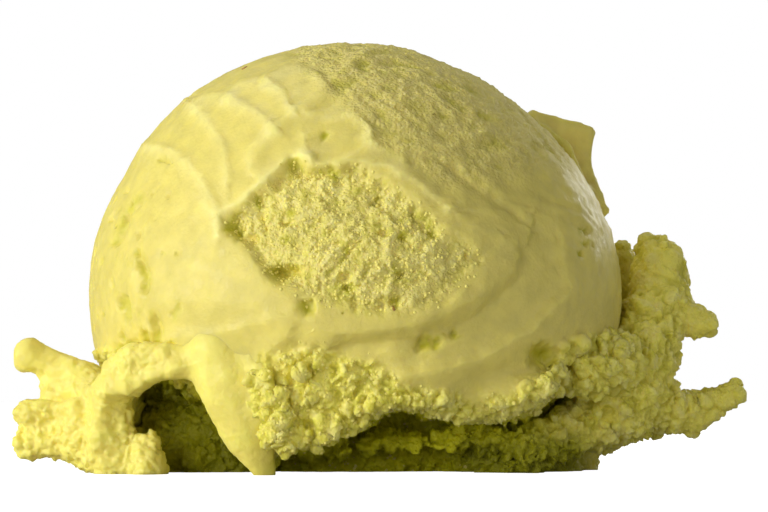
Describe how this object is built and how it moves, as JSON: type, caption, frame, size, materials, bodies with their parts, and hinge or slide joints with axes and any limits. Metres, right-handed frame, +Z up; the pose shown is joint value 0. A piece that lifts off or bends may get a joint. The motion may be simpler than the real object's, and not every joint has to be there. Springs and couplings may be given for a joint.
{
  "type": "gelato scoop",
  "caption": "Round scoop of pistachio gelato with a torn lower lip, crumbly skirt and a coarse broken patch on the front.",
  "frame": {"origin": "on the flat foot, under the middle of the scoop's box", "axes": "+X to the right of the pictured side, towards the two horns; +Z up; the broken patch faces -Y"},
  "size_m": [0.0812, 0.062, 0.0481],
  "materials": {
    "gelato": "soft satin, frosty and grainy where it is torn"
  },
  "bodies": {
    "root": {"gelato_scoop": "gelato"}
  },
  "joints": []
}
